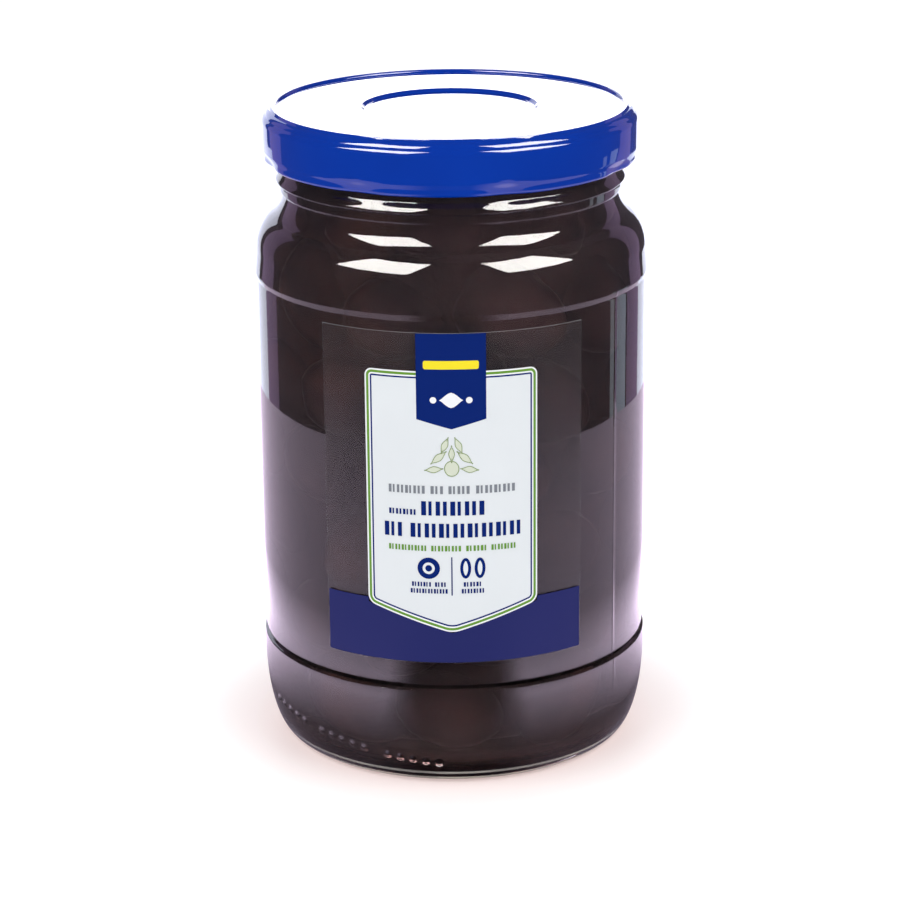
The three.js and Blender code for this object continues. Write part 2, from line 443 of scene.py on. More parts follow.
def outsideProfile():
    g = glass
    heelAcross = g["heelRadius"] - g["bearingOuter"]
    collarAcross = g["collarRadius"] - g["neckRadius"]
    beadAcross = g["beadRadius"] - g["collarRadius"]
    rim = g["rimBend"]
    beadMiddle = (g["beadRadius"], g["beadHeight"])
    return [
        *arc(0, 0, g["bearingInner"], g["pushUp"], 90, 0, 14),
        *arc(g["bearingOuter"], g["heelTop"], heelAcross, g["heelTop"], -90, 0, 22),
        *closeTo(g["heelRadius"], g["heelLip"], g["lipEdge"]),
        *closeTo(g["grooveRadius"], g["grooveHeight"], g["grooveEdge"]),
        *closeTo(g["panelRadius"], g["grooveTop"], g["panelLowEdge"]),
        *closeTo(g["panelRadius"], g["panelTop"], g["panelHighEdge"]),
        *closeTo(g["stepRadius"], g["stepHeight"], g["stepEdge"]),
        *shoulderCurve(0, g["neckRadius"], 12),
        *arc(g["neckRadius"], g["collarHeight"] + g["collarBend"],
             collarAcross, g["collarBend"], -90, 0, 8),
        *arc(g["collarRadius"], g["beadHeight"], beadAcross, g["beadBelow"], -90, 0, 7),
        *eased(beadMiddle, (g["finishRadius"], g["beadTop"]), 10, g["beadEase"])[1:],
        *arc(g["finishRadius"] - rim, g["rimTop"] - rim, rim, rim, 0, 90, 5),
    ]


def insideProfile():
    g = glass
    floorRadius = g["panelRadius"] - g["wall"] - g["floorBendAcross"]
    rim = g["rimBend"]
    return [
        *arc(g["mouthRadius"] + rim, g["rimTop"] - rim, rim, rim, 90, 180, 5),
        *reversed(shoulderCurve(g["wall"], g["mouthRadius"], 10)),
        *arc(floorRadius, g["floorHeight"] + g["floorBendUp"],
             g["floorBendAcross"], g["floorBendUp"], 0, -90, 14),
        *arc(0, g["floorHeight"], floorRadius, g["floorRise"], 20, 90, 8),
    ]


mouldSeams = {
    "turns": (54.5, 234.5),          # degrees from the front
    "rise": 0.14, "half": 0.35,
    "bottom": 20.0, "top": 152.0, "innermost": 56.5,
    "cutOutside": 40.0, "cutHalf": 4.0,
}


def raiseSeams(bm):
    # the two upright lines where the halves of the mould met
    s = mouldSeams
    for angle in s["turns"]:
        a = math.radians(angle)
        out = Vector((math.sin(a), -math.cos(a), 0))
        across = Vector((0, 0, 1)).cross(out)
        for offset in (-s["half"], 0.0, s["half"]):
            near = [f for f in bm.faces
                    if f.calc_center_median().dot(out) > s["cutOutside"] * mm
                    and abs(f.calc_center_median().dot(across)) < s["cutHalf"] * mm]
            geom = set(near)
            for face in near:
                geom.update(face.edges)
                geom.update(face.verts)
            bmesh.ops.bisect_plane(bm, geom=list(geom), dist=0.01 * mm,
                                   plane_co=across * (offset * mm), plane_no=across)
        for vert in bm.verts:
            radius = math.hypot(vert.co.x, vert.co.y)
            onLine = abs(vert.co.dot(across)) < 0.05 * mm and vert.co.dot(out) > 0
            atHeight = s["bottom"] * mm < vert.co.z < s["top"] * mm
            if onLine and atHeight and radius > s["innermost"] * mm:
                scale = 1 + s["rise"] * mm / radius
                vert.co.x *= scale
                vert.co.y *= scale


heelDots = {
    # a row of small raised dots: degrees from the front and height at its two ends
    "from": (-68.0, 14.2), "to": (-5.0, 7.4),
    "count": 17, "group": 6,         # each sixth place is a gap
    "radius": 1.7, "rise": 0.55, "lean": -0.3,
    "cuts": 5, "patchEnds": 0.05, "patchHalf": 2.6, "innermost": 50.0, "highest": 20.0,
}


def raiseDots(bm):
    d = heelDots
    (startAngle, startHeight), (endAngle, endHeight) = d["from"], d["to"]

    def onHeel(co):
        angle = math.degrees(math.atan2(co.x, -co.y))
        share = (angle - startAngle) / (endAngle - startAngle)
        off = abs(co.z / mm - startHeight - (endHeight - startHeight) * share)
        inRow = -d["patchEnds"] < share < 1 + d["patchEnds"] and off < d["patchHalf"]
        return inRow and math.hypot(co.x, co.y) > d["innermost"] * mm

    patch = [f for f in bm.faces if onHeel(f.calc_center_median())]
    edges = {e for f in patch for e in f.edges}
    bmesh.ops.subdivide_edges(bm, edges=list(edges), cuts=d["cuts"], use_grid_fill=True)
    middles = []
    for i in range(d["count"]):
        share = i / (d["count"] - 1)
        if i % d["group"] == d["group"] - 1:
            continue
        a = math.radians(startAngle + (endAngle - startAngle) * share)
        z = startHeight + (endHeight - startHeight) * share
        across = glass["heelRadius"] - glass["bearingOuter"]
        r = glass["bearingOuter"] + across * math.sqrt(1 - (1 - z / glass["heelTop"]) ** 2)
        middles.append(Vector((math.sin(a) * r, -math.cos(a) * r, z)) * mm)
    for vert in bm.verts:
        radius = math.hypot(vert.co.x, vert.co.y)
        if vert.co.z > d["highest"] * mm or radius < d["innermost"] * mm or vert.co.y > 0:
            continue
        near = min((vert.co - m).length for m in middles) / mm / d["radius"]
        if near < 1:
            out = Vector((vert.co.x, vert.co.y, d["lean"] * radius)).normalized()
            vert.co += out * (d["rise"] * mm * (1 + math.cos(math.pi * near)) / 2)


film = {
    "bottom": 40.2, "top": 141.0, "halfAngle": 39.2,
    "inner": 58.75, "outer": 59.0,
    "roughness": 0.22, "edgeRoughness": 0.4,
    "clear": (0.82, 0.84, 0.88),
    "haze": (0.001, 0.004), "hazeScale": 50.0,
    "edgeHaze": (0.06, 0.14), "edgeHazeScale": 80.0,
    "topEdge": 0.2, "topHaze": 0.4,
}


def underFilm(look, x, y, z, radius):
    # 1 on the part of the panel that the film covers, and 0 elsewhere
    middle = (film["bottom"] + film["top"]) / 2 * mm
    half = (film["top"] - film["bottom"]) / 2 * mm
    halfAngle = math.radians(film["halfAngle"])
    inAngle = mathOf(look, "LESS_THAN", turnFromFront(look, x, y), halfAngle)
    inHeight = mathOf(look, "LESS_THAN", gapTo(look, z, middle), half)
    outside = mathOf(look, "GREATER_THAN", radius, glass["panelOutside"] * mm)
    return product(look, inAngle, inHeight, outside)


def paintedFootHighlights(look, z):
    # two thin painted highlight lines at the foot, standing for light that the thick glass gathers
    lit = None
    for height, half, share in glass["footHighlightLines"]:
        off = gapTo(look, z, height * mm)
        line = ranged(look, off, share, 0.0, half * glass["footCore"] * mm, half * mm)
        lit = line if lit is None else mathOf(look, "ADD", lit, line)
    patchy = ranged(look, noiseOf(look, glass["footPatchScale"], 2.0), *glass["footPatches"])
    return product(look, lit, patchy)


def paintedGrooveShade(look, z, radius):
    # a painted dark line of shade in the groove over the heel
    middle = (glass["grooveHeight"] + glass["grooveTop"]) / 2
    fade = [height * mm for height in glass["grooveFade"]]
    dark = ranged(look, gapTo(look, z, middle * mm), 1.0, 0.0, *fade)
    outside = mathOf(look, "GREATER_THAN", radius, glass["grooveOutside"] * mm)
    return product(look, dark, outside)


def glassMaterials():
    look, shader = newMaterial("jar_glass", {
        "Base Color": (*glass["tint"], 1.0),
        "Transmission Weight": 1.0,
        "IOR": glass["index"],
    })
    ripple = noiseOf(look, glass["wobbleScale"], 1.0, stretch=glass["wobbleStretch"])
    bumped(look, shader, ripple, glass["wobble"])
    x, y, z = axesOf(look)
    squares = mathOf(look, "ADD", product(look, x, x), product(look, y, y))
    radius = mathOf(look, "SQRT", squares)
    # under the film the surface is as dull as the film
    dull = product(look, underFilm(look, x, y, z, radius), film["roughness"])
    join(look, dull, shader.inputs["Roughness"])
    # painted highlight lines at the foot take a cream colour and let less light through
    lit = paintedFootHighlights(look, z)
    # painted shade darkens the glass in the groove over the heel
    dark = paintedGrooveShade(look, z, radius)
    clear = mixedColour(look, dark, glass["tint"], glass["grooveShadeColour"])
    clearness = mathOf(look, "SUBTRACT", 1.0, lit)
    join(look, clearness, shader.inputs["Transmission Weight"])
    colour = mixedColour(look, lit, clear, glass["paintedFootColour"])
    join(look, colour, shader.inputs["Base Color"])
    # where the brine touches the glass, nothing bends or reflects
    wet, _ = newMaterial("jar_glass_wet", {
        "Base Color": (*glass["tint"], 1.0),
        "Transmission Weight": 1.0,
        "Roughness": 0.0,
        "IOR": 1.0,
    })
    return [look, wet]


def makeGlass():
    bm = spun(outsideProfile() + insideProfile(), glass["steps"])
    bmesh.ops.remove_doubles(bm, verts=bm.verts, dist=weldDistance)
    raiseSeams(bm)
    raiseDots(bm)
    bmesh.ops.recalc_face_normals(bm, faces=bm.faces)
    for face in bm.faces:
        centre = face.calc_center_median()
        facesIn = face.normal.x * centre.x + face.normal.y * centre.y < 0
        onFloor = face.normal.z > 0.8 and centre.z < glass["wetBelow"] * mm
        filled = glass["pushUp"] + 1 < centre.z / mm < brine["level"]
        face.material_index = 1 if filled and (facesIn or onFloor) else 0
    jar = addPiece("glass_body", bm, glassMaterials())
    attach(jar, "root")
    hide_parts("glass_jar")


brine = {
    "level": 182.0,
    "reach": 0.25,                   # into the wall
    "steps": 128,
    "index": 1.0,
    "colour": (0.55, 0.36, 0.28),
    "density": 120.0,
    "cloud": (0.68, 0.48, 0.49), "cloudDeep": (0.27, 0.19, 0.2),
    "cloudScale": 15.0, "cloudStretch": (1, 1, 0.7), "cloudShift": (0.2, 0.1, 0.4),
    "clearness": 0.95, "clearnessLow": 0.9, "lowHeights": (5.0, 20.0),
    "ripple": 0.02, "rippleScale": 60.0,
}


def brineMaterial():
    b = brine
    look, shader = newMaterial("dark_brine", {
        "Roughness": 0.0,
        "Specular IOR Level": 0.0,
        "IOR": b["index"],
    })
    noise = noiseOf(look, b["cloudScale"], 3.0, stretch=b["cloudStretch"], shift=b["cloudShift"])
    cloud = ranged(look, noise, 0.0, 1.0)
    colour = mixedColour(look, cloud, b["cloud"], b["cloudDeep"])
    join(look, colour, shader.inputs["Base Color"])
    _, _, z = axesOf(look)
    heights = [height * mm for height in b["lowHeights"]]
    clearness = ranged(look, z, b["clearnessLow"], b["clearness"], *heights)
    join(look, clearness, shader.inputs["Transmission Weight"])
    soak = addNode(look, "ShaderNodeVolumeAbsorption")
    soak.inputs["Color"].default_value = (*b["colour"], 1.0)
    soak.inputs["Density"].default_value = b["density"]
    end = look.node_tree.nodes["Material Output"]
    join(look, soak.outputs["Volume"], end.inputs["Volume"])
    bumped(look, shader, noiseOf(look, b["rippleScale"], 1.0), b["ripple"])
    return look


def makeBrine():
    level, reach = brine["level"], brine["reach"]
    inside = [(r + reach, z - reach) for r, z in insideProfile() if z < level]
    inside[-1] = (0, inside[-1][1])
    top = [(0, level), (glass["mouthRadius"] + reach, level)]
    liquid = addPiece("brine", spun(top + inside, brine["steps"]), [brineMaterial()])
    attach(liquid, "root")


makeGlass()
print("glass blown")
makeBrine()
print("brine poured")


olives = {
    "length": 32.0, "width": 24.0,
    "smallest": 0.9, "spread": 0.15,
    "taper": 0.06, "tipFrom": 0.9, "tip": 0.03, "dimpleFrom": -0.97, "dimple": 0.05,
    "tilt": 1.9, "yaw": 0.8,
    "rows": 7, "perRow": 10, "rowShake": 6.0, "turnShake": 0.3,
    "heapTop": 177.0, "clear": 0.4, "nudge": 0.6, "testEvery": 3,
    "coreRadius": 44.0, "coreBend": 10.0, "coreSteps": 64,
    "segments": 22, "rings": 14, "seed": 71,
    "skin": (0.055, 0.03, 0.032), "skinDark": (0.016, 0.009, 0.012),
    "skinWarm": (0.11, 0.055, 0.035),
    "gloss": 0.03, "roughness": (0.3, 0.5),
    "pores": 0.12, "poreScale": 520.0,
}


def makeRandom(seed):
    state = seed
    while True:
        state = (state * 1664525 + 1013904223) % 4294967296
        yield state / 4294967296


def roomRadius(z):
    # how far out the inside of the glass lets an olive reach at this height
    points = [(r - olives["clear"], h + olives["clear"]) for r, h in insideProfile()]
    best = 0.0
    for (r1, z1), (r2, z2) in zip(points, points[1:]):
        low, high = min(z1, z2), max(z1, z2)
        if low <= z <= high and high > low:
            best = max(best, r1 + (r2 - r1) * (z - z1) / (z2 - z1))
    return best


def oliveShape():
    # one olive along X, a little pointed at one end and dimpled where its stem was
    o = olives
    bm = bmesh.new()
    bmesh.ops.create_uvsphere(bm, u_segments=o["segments"], v_segments=o["rings"], radius=1.0,
                              matrix=Matrix.Rotation(math.radians(90), 4, "Y"))
    for vert in bm.verts:
        along = vert.co.x
        vert.co.y *= 1 - o["taper"] * along
        vert.co.z *= 1 - o["taper"] * along
        if along > o["tipFrom"]:
            vert.co.x += o["tip"] * (along - o["tipFrom"]) / (1 - o["tipFrom"])
        if along < o["dimpleFrom"]:
            vert.co.x += o["dimple"]
    mesh = bpy.data.meshes.new("olive_shape")
    bm.to_mesh(mesh)
    bm.free()
    return mesh


def oliveMaterial():
    look, shader = newMaterial("olive_skin", {
        "Specular IOR Level": olives["gloss"],
    })
    blotch = ranged(look, noiseOf(look, 45.0, 2.0), 0.0, 1.0)
    patch = ranged(look, noiseOf(look, 22.0, 1.0, shift=(3, 1, 5)), 0.0, 1.0, 0.52, 0.7)
    dark = mixedColour(look, blotch, olives["skinDark"], olives["skin"])
    colour = mixedColour(look, patch, dark, olives["skinWarm"])
    join(look, colour, shader.inputs["Base Color"])
    rough = ranged(look, noiseOf(look, 140.0, 2.0), *olives["roughness"])
    join(look, rough, shader.inputs["Roughness"])
    bumped(look, shader, noiseOf(look, olives["poreScale"], 2.0), olives["pores"])
    return look


def addOlive(bm, shape, turn, height, size, turned):
    # moved in from the wall until it lies clear of the glass
    wide = olives["width"] / 2 * size
    sized = Matrix.Diagonal((olives["length"] / 2 * size, wide, wide, 1.0))
    points = [(turned @ sized @ v.co) for v in shape.vertices][::olives["testEvery"]]
    distance = glass["panelRadius"] - glass["wall"] - wide
    fits = False
    while not fits:
        distance -= olives["nudge"]
        cx, cy = math.sin(turn) * distance, -math.cos(turn) * distance
        fits = all(math.hypot(p.x + cx, p.y + cy) <= roomRadius(p.z + height) for p in points)
    place = Matrix.Translation((cx, cy, height))
    start = len(bm.verts)
    bm.from_mesh(shape)
    bm.verts.ensure_lookup_table()
    whole = Matrix.Scale(mm, 4) @ place @ turned @ sized
    bmesh.ops.transform(bm, matrix=whole, verts=bm.verts[start:])


def oliveHeap(lowest):
    o = olives
    draw = makeRandom(o["seed"])
    shape = oliveShape()
    bm = bmesh.new()
    highest = o["heapTop"] - o["width"] / 2
    for row in range(o["rows"]):
        level = lowest + (highest - lowest) * row / (o["rows"] - 1)
        shake = o["rowShake"] if 0 < row < o["rows"] - 1 else 0.0
        for i in range(o["perRow"]):
            step = i + (row % 2) / 2 + o["turnShake"] * (next(draw) - 0.5)
            turn = step / o["perRow"] * 2 * math.pi
            height = level + shake * (next(draw) - 0.5)
            size = o["smallest"] + o["spread"] * next(draw)
            spin = Matrix.Rotation(next(draw) * math.pi, 4, "X")
            tipped = Matrix.Rotation((next(draw) - 0.5) * o["tilt"], 4, "Y")
            yawed = Matrix.Rotation((next(draw) - 0.5) * o["yaw"], 4, "Z")
            addOlive(bm, shape, turn, height, size, yawed @ tipped @ spin)
    return bm


def oliveCore(bottom):
    o = olives
    bend = o["coreBend"]
    flat = o["coreRadius"] - bend
    return spun([
        (0, bottom),
        *arc(flat, bottom + bend, bend, bend, -90, 0, 8),
        *arc(flat, o["heapTop"] - bend, bend, bend, 0, 90, 8),
        (0, o["heapTop"]),
    ], o["coreSteps"])


def makeOlives():
    floor = glass["floorHeight"] + glass["floorRise"]
    look = oliveMaterial()
    heap = addPiece("olive_heap", oliveHeap(floor + olives["width"] / 2), [look])
    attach(heap, "root")
    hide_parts("olives")
    middle = addPiece("olive_core", oliveCore(floor + olives["clear"]), [look])
    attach(middle, "root")
    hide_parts("olives")


makeOlives()
print("olives packed")


lid = {
    "sheet": 0.6, "skirtRadius": 55.5, "skirtTop": 187.8,
    "flareRadius": 55.85, "flareHeight": 191.2, "flareBend": 2.35, "bevelLean": 42,
    "flareFrom": 0.6, "flareTo": 3.0,                      # over the curl's middle
    "bevelTop": (52.95, 195.3), "bevelBulge": 0.05,
    "crestRadius": 52.6, "crestHeight": 195.6, "crestBend": 0.9,
    "crestEdge": ((0.2, -0.05), (0, 0)),
    "panelEdge": 50.9, "panelDrop": 0.9,
    "panelSoft": ((0, 0.1), (-0.12, 0), (-0.5, 0)),
    "panelRings": (49.0, 46.0, 42.0, 38.0, 33.0, 29.0),
    "discRadius": 25.4, "discDrop": 0.9, "discSlope": 0.9, "discSoft": 0.3,
    "discRings": (22.0, 17.0, 9.0),
    "curlRadius": 1.15, "curlHeight": 180.5, "curlSweep": 225,
    "lugs": 8, "firstLug": -28.5, "lugSpread": 10.0, "lugHeight": 3.0, "lugDepth": 1.0,
    "steps": 192,
    "paint": (0.0, 0.034, 0.335), "paintDeep": (0.0, 0.03, 0.305),
    "roughness": (0.28, 0.4), "coatRoughness": 0.03, "coatIndex": 1.5,
    "orangePeel": 0.01, "orangePeelScale": 300.0,
}


def lidProfile():
    d = lid
    sheet = d["sheet"]
    panel = d["crestHeight"] - d["panelDrop"]
    disc = panel - d["discDrop"]
    discEdge = d["discRadius"] + d["discSlope"]
    # the inside, from the middle outwards and down
    flare = d["flareRadius"] - d["crestRadius"]
    crown = d["crestHeight"] - d["flareHeight"]
    crestLow = d["crestHeight"] - d["crestBend"]
    crestIn = d["crestBend"] - sheet
    inside = [
        (0, disc - sheet),
        (d["discRadius"], disc - sheet),
        (discEdge, panel - sheet),
        (d["panelEdge"] + sheet / 2, panel - sheet),
        *arc(d["crestRadius"], crestLow, crestIn, crestIn, 180, 90, 4),
        *arc(d["crestRadius"], d["flareHeight"], flare - sheet, crown - sheet, 80, 0, 8),
        (d["skirtRadius"] - sheet, d["skirtTop"]),
        (d["skirtRadius"] - sheet, d["curlHeight"] + d["curlRadius"] + sheet),
    ]
    curl = arc(d["skirtRadius"] - d["curlRadius"], d["curlHeight"],
               d["curlRadius"], d["curlRadius"], 360 - d["curlSweep"], 360, 16)
    # the outside, upwards and in to the middle
    bend = d["flareBend"]
    shoulder = arc(d["flareRadius"] - bend, d["flareHeight"], bend, bend, 0, d["bevelLean"], 12)
    (lowRadius, lowHeight), (topRadius, topHeight) = shoulder[-1], d["bevelTop"]
    bevelMiddle = ((lowRadius + topRadius) / 2, (lowHeight + topHeight) / 2 + d["bevelBulge"])
    skirt = eased((d["skirtRadius"], d["curlHeight"] + d["flareFrom"]),
                  (d["flareRadius"], d["curlHeight"] + d["flareTo"]), 8)
    top = [
        *closeTo(d["crestRadius"], d["crestHeight"], d["crestEdge"]),
        *arc(d["crestRadius"], crestLow, d["crestBend"], d["crestBend"], 105, 180, 6),
        *closeTo(d["panelEdge"], panel, d["panelSoft"]),
        *((r, panel) for r in d["panelRings"]),
        (discEdge + d["discSoft"], panel),
        (discEdge, panel),
        (d["discRadius"] + d["discSlope"] / 2, panel - d["discDrop"] / 2),
        (d["discRadius"], disc),
        (d["discRadius"] - d["discSoft"], disc),
        *((r, disc) for r in d["discRings"]),
        (0, disc),
    ]
    skirtTop = (d["flareRadius"], d["skirtTop"])
    return [*inside, *curl, *skirt, skirtTop, *shoulder, bevelMiddle, d["bevelTop"], *top]


def pressLugs(bm):
    # the places where the lower edge is pressed inwards
    pitch = 360 / lid["lugs"]
    for vert in bm.verts:
        angle = math.degrees(math.atan2(vert.co.x, -vert.co.y)) - lid["firstLug"]
        off = (angle + pitch / 2) % pitch - pitch / 2
        near = 0.0
        if abs(off) < lid["lugSpread"]:
            near = (1 + math.cos(math.pi * off / lid["lugSpread"])) / 2
        low = (lid["curlHeight"] + lid["lugHeight"] - vert.co.z / mm) / lid["lugHeight"]
        scale = 1 - lid["lugDepth"] * near * min(max(low, 0.0), 1.0) / lid["skirtRadius"]
        vert.co.x *= scale
        vert.co.y *= scale


def makeLid():
    bm = spun(lidProfile(), lid["steps"])
    pressLugs(bm)
    look, shader = newMaterial("lid_lacquer", {
        "Coat Weight": 1.0,
        "Coat Roughness": lid["coatRoughness"],
        "Coat IOR": lid["coatIndex"],
        "Specular IOR Level": 0.0,
    })
    spread = ranged(look, noiseOf(look, 30.0, 2.0), 0.0, 1.0)
    colour = mixedColour(look, spread, lid["paint"], lid["paintDeep"])
    join(look, colour, shader.inputs["Base Color"])
    rough = ranged(look, noiseOf(look, 90.0, 3.0), *lid["roughness"])
    join(look, rough, shader.inputs["Roughness"])
    bumped(look, shader, noiseOf(look, lid["orangePeelScale"], 1.0), lid["orangePeel"])
    cap = addPiece("lid_cap", bm, [look], sharpAngle=40)
    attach(cap, "root")
    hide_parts("lid")


makeLid()
print("lid pressed")


inks = {
    "white": (0.82, 0.84, 0.86), "panel": (0.7, 0.745, 0.765), "green": (0.13, 0.3, 0.04),
    "navy": (0.003, 0.017, 0.145), "grey": (0.2, 0.22, 0.25), "yellow": (0.85, 0.72, 0.03),
    "band": (0.02, 0.024, 0.12), "leaf": (0.22, 0.31, 0.12), "pale": (0.62, 0.67, 0.55),
}
inkFinish = {"gloss": 0.04, "fade": 0.97, "rougher": 0.03, "scale": 60.0, "range": (0.2, 0.8)}
inkLooks = {}


def inkOf(name):
    if name not in inkLooks:
        f = inkFinish
        look, shader = newMaterial("ink_" + name, {"Specular IOR Level": f["gloss"]})
        faded = tuple(c * f["fade"] for c in inks[name])
        spread = ranged(look, noiseOf(look, f["scale"], 1.0), 0.0, 1.0, *f["range"])
        colour = mixedColour(look, spread, inks[name], faded)
        join(look, colour, shader.inputs["Base Color"])
        low, high = film["roughness"], film["roughness"] + f["rougher"]
        rough = ranged(look, noiseOf(look, f["scale"], 1.0), low, high, *f["range"])
        join(look, rough, shader.inputs["Roughness"])
        inkLooks[name] = look
    return inkLooks[name]


def filmMaterials():
    f = film
    clear, shader = newMaterial("film_clear", {
        "Base Color": (*f["clear"], 1.0),
        "Roughness": f["roughness"],
    })
    haze = ranged(clear, noiseOf(clear, f["hazeScale"], 3.0), *f["haze"])
    join(clear, haze, shader.inputs["Alpha"])
    # the cut edge, which shows most along the top
    edge, shader = newMaterial("film_edge", {
        "Base Color": (*f["clear"], 1.0),
        "Roughness": f["edgeRoughness"],
    })
    _, _, z = axesOf(edge)
    onTop = mathOf(edge, "GREATER_THAN", z, (f["top"] - f["topEdge"]) * mm)
    patchy = ranged(edge, noiseOf(edge, f["edgeHazeScale"], 3.0), *f["edgeHaze"])
    edgeHaze = mathOf(edge, "ADD", patchy, product(edge, onTop, f["topHaze"]))
    join(edge, edgeHaze, shader.inputs["Alpha"])
    return [clear, edge]


def makeFilm():
    f = film
    corners = [(f["inner"], f["bottom"]), (f["outer"], f["bottom"]),
               (f["outer"], f["top"]), (f["inner"], f["top"])]
    bm = spun(corners, 60, startAngle=-90 - f["halfAngle"], sweep=2 * f["halfAngle"], closed=True)
    bmesh.ops.holes_fill(bm, edges=[e for e in bm.edges if e.is_boundary], sides=4)
    bmesh.ops.recalc_face_normals(bm, faces=bm.faces)
    for face in bm.faces:
        centre = face.calc_center_median()
        out = Vector((centre.x, centre.y, 0)).normalized()
        face.material_index = 0 if abs(face.normal.dot(out)) > 0.7 else 1
    sheet = addPiece("label_film", bm, filmMaterials(), sharpAngle=30)
    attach(sheet, "root")
    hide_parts("label")


# the prints lie over each other in thin layers
printRadius = {"base": 59.03, "second": 59.07, "third": 59.11, "fourth": 59.15}
stripWidth = 1.6


def wrapped(bm, radius):
    # a flat drawing, across in X and up in Z, cut into narrow strips and laid round the jar
    span = max(abs(v.co.x) for v in bm.verts)
    count = int(span / stripWidth) + 1
    for i in range(-count, count + 1):
        geom = list(bm.verts) + list(bm.edges) + list(bm.faces)
        bmesh.ops.bisect_plane(bm, geom=geom, dist=0.01,
                               plane_co=(i * stripWidth, 0, 0), plane_no=(1, 0, 0))
    for vert in bm.verts:
        angle = vert.co.x / radius
        vert.co = Vector((math.sin(angle) * radius, -math.cos(angle) * radius, vert.co.z)) * mm


def addOutline(bm, points, material=0, round=0.0):
    verts = [bm.verts.new((x, 0, z)) for x, z in points]
    face = bm.faces.new(verts)
    face.material_index = material
    face.normal_update()
    if round > 0:
        bmesh.ops.bevel(bm, geom=verts, offset=round, affect="VERTICES", segments=6,
                        profile=0.5, material=-1)


def layPrint(name, bm, looks, radius):
    wrapped(bm, radius)
    sheet = addPiece(name, bm, looks, smooth=False)
    if any(p.normal.dot(Vector((p.center.x, p.center.y, 0))) < 0 for p in sheet.data.polygons):
        sheet.data.flip_normals()
    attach(sheet, "root")


shield = {
    "left": -26.0, "right": 25.1, "top": 129.7, "corner": 58.0, "tip": 49.8, "tipAt": -0.6,
    "round": 2.2,
    "rings": (("white", 0.45), ("green", 0.75), ("white", 0.45), ("navy", 0.5)),
}


def makeShield():
    s = shield
    bm = bmesh.new()
    addOutline(bm, [(s["left"], s["top"]), (s["left"], s["corner"]), (s["tipAt"], s["tip"]),
                    (s["right"], s["corner"]), (s["right"], s["top"])], round=s["round"])
    for i, (_, width) in enumerate(s["rings"]):
        inner = max(bm.faces, key=lambda f: f.calc_area())
        bmesh.ops.inset_region(bm, faces=[inner], thickness=width,
                               use_even_offset=True, use_boundary=True)
        inner = max(bm.faces, key=lambda f: f.calc_area())
        inner.material_index = i + 1
    looks = [inkOf(ink) for ink, _ in s["rings"]] + [inkOf("panel")]
    layPrint("label_shield", bm, looks, printRadius["base"])


band = {"left": -40.05, "right": 40.05, "bottom": 40.5, "top": 59.4}


def makeBand():
    # two fields, left and right of the shield, which meet below its tip
    s, b = shield, band
    bm = bmesh.new()
    addOutline(bm, [(b["left"], b["bottom"]), (s["tipAt"], b["bottom"]), (s["tipAt"], s["tip"]),
                    (s["left"], s["corner"]), (s["left"], b["top"]), (b["left"], b["top"])])
    addOutline(bm, [(s["tipAt"], b["bottom"]), (b["right"], b["bottom"]), (b["right"], b["top"]),
                    (s["right"], b["top"]), (s["right"], s["corner"]), (s["tipAt"], s["tip"])])
    layPrint("label_band", bm, [inkOf("band")], printRadius["base"])


banner = {"left": -10.5, "right": 9.7, "top": 140.9, "side": 115.4, "tip": 112.5, "tipAt": -0.4}


def makeBanner():
    b = banner
    bm = bmesh.new()
    addOutline(bm, [(b["left"], b["top"]), (b["left"], b["side"]), (b["tipAt"], b["tip"]),
                    (b["right"], b["side"]), (b["right"], b["top"])])
    layPrint("label_banner", bm, [inkOf("navy")], printRadius["second"])


rows = {
    "inks": ("grey", "yellow", "navy", "green"),
    # plain bars: left, right, bottom, top, ink, corner
    "bars": [
        (-8.4, 7.6, 130.4, 132.9, "yellow", 0.6),
        (-0.8, -0.45, 61.6, 73.5, "navy", 0.0),
    ],
    # rows of upright strokes: left, right, bottom, top, ink, how many
    "strokes": [
        (-19.0, -8.4, 92.9, 95.3, "grey", 9), (-6.6, -3.0, 92.9, 95.3, "grey", 3),
        (-1.4, 4.6, 92.9, 95.3, "grey", 5), (6.6, 18.0, 92.9, 95.3, "grey", 9),
        (-19.0, -11.0, 86.3, 88.0, "navy", 8), (-9.4, 8.8, 86.3, 90.6, "navy", 9),
        (-20.4, -15.2, 79.5, 83.8, "navy", 3), (-12.6, 19.9, 79.5, 83.8, "navy", 16),
        (-19.2, -8.0, 75.3, 77.0, "green", 12), (-6.6, 2.0, 75.3, 77.0, "green", 9),
        (3.6, 9.6, 75.3, 77.0, "green", 6), (11.0, 18.3, 75.3, 77.0, "green", 8),
        (-12.4, -6.8, 64.3, 65.7, "navy", 7), (-5.6, -2.4, 64.3, 65.7, "navy", 4),
        (-12.8, -2.0, 62.2, 63.6, "navy", 13),
        (2.8, 8.0, 64.3, 65.7, "navy", 6), (2.2, 8.8, 62.2, 63.6, "navy", 8),
    ],
    "strokeShares": (0.68, 0.44, 0.6, 0.52),     # of the room that each stroke has
    "lastGap": 0.4,
}


def makeRows():
    bm = bmesh.new()
    order = rows["inks"].index
    for left, right, bottom, top, ink, corner in rows["bars"]:
        addOutline(bm, [(left, top), (left, bottom), (right, bottom), (right, top)],
                   material=order(ink), round=corner)
    shares = rows["strokeShares"]
    for left, right, bottom, top, ink, count in rows["strokes"]:
        pitch = (right - left) / (count - rows["lastGap"])
        for i in range(count):
            a = left + i * pitch
            b = a + pitch * shares[i % len(shares)]
            addOutline(bm, [(a, top), (a, bottom), (b, bottom), (b, top)], material=order(ink))
    layPrint("label_rows", bm, [inkOf(ink) for ink in rows["inks"]], printRadius["third"])


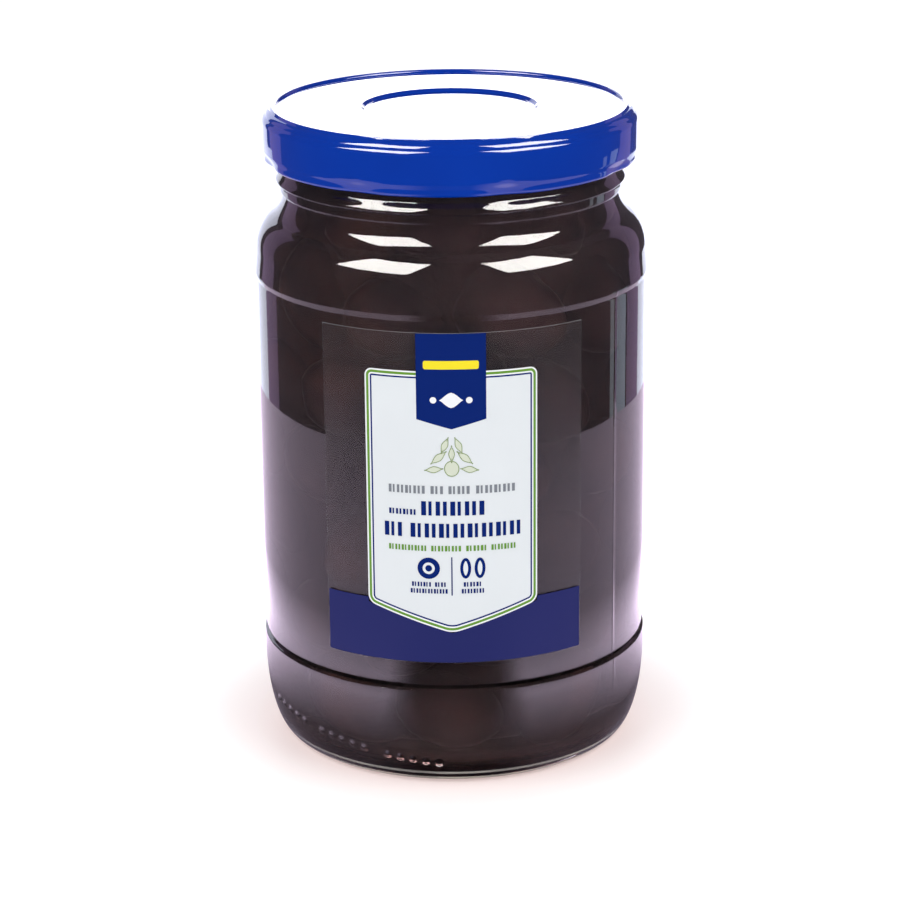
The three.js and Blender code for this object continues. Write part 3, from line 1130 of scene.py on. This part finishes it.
# round and pointed shapes: across, up, length, width, turn in degrees, pointed, outline
garland = [
    (-0.4, 100.6, 4.4, 4.8, 0, 0.0, 0.25),
    (-4.2, 103.9, 6.2, 2.2, 40, 1.0, 0.22), (3.4, 103.9, 6.2, 2.2, -40, 1.0, 0.22),
    (-5.6, 100.3, 5.6, 2.1, 6, 1.0, 0.22), (4.8, 100.3, 5.6, 2.1, -6, 1.0, 0.22),
    (-2.4, 107.6, 5.6, 2.0, 66, 1.0, 0.22), (1.6, 107.6, 5.6, 2.0, -66, 1.0, 0.22),
    (-0.4, 105.0, 5.4, 1.9, 90, 1.0, 0.22),
]
lozenges = [
    (-0.4, 121.2, 7.0, 4.6, 0, 1.0, 0.0),
    (-5.6, 121.2, 1.9, 1.9, 0, 0.0, 0.0), (4.8, 121.2, 1.9, 1.9, 0, 0.0, 0.0),
]
icons = [
    (-7.4, 70.0, 6.6, 6.6, 0, 0.0, 1.5),
    (3.4, 70.0, 6.4, 3.2, 90, 0.0, 0.9), (7.6, 70.0, 6.4, 3.2, 90, 0.0, 0.9),
]
iconHearts = [(-7.4, 70.0, 2.0, 2.0, 0, 0.0, 0.0)]


def addBlob(bm, across, up, length, width, turn, pointed, outline):
    made = bmesh.ops.create_circle(bm, cap_ends=True, segments=28, radius=0.5,
                                   matrix=Matrix.Rotation(math.radians(90), 4, "X"))
    verts = made["verts"]
    for vert in verts:
        vert.co.z *= 1 - pointed * abs(2 * vert.co.x) ** 1.6
    bmesh.ops.scale(bm, vec=(length, 1, width), verts=verts)
    bmesh.ops.rotate(bm, verts=verts, matrix=Matrix.Rotation(math.radians(-turn), 3, "Y"))
    bmesh.ops.translate(bm, verts=verts, vec=(across, 0, up))
    face = verts[0].link_faces[0]
    face.material_index = 0
    if outline > 0:
        bmesh.ops.inset_region(bm, faces=[face], thickness=outline,
                               use_even_offset=True, use_boundary=True)
        face.material_index = 1


def makeShapes(name, shapes, looks, radius):
    bm = bmesh.new()
    for shape in shapes:
        addBlob(bm, *shape)
    layPrint(name, bm, looks, radius)


makeFilm()
makeShield()
makeBand()
makeBanner()
makeRows()
makeShapes("label_garland", garland, [inkOf("leaf"), inkOf("pale")], printRadius["third"])
makeShapes("label_lozenges", lozenges, [inkOf("white")], printRadius["third"])
makeShapes("label_icons", icons, [inkOf("navy"), inkOf("panel")], printRadius["third"])
makeShapes("label_icon_hearts", iconHearts, [inkOf("navy")], printRadius["fourth"])
print("label laid on")
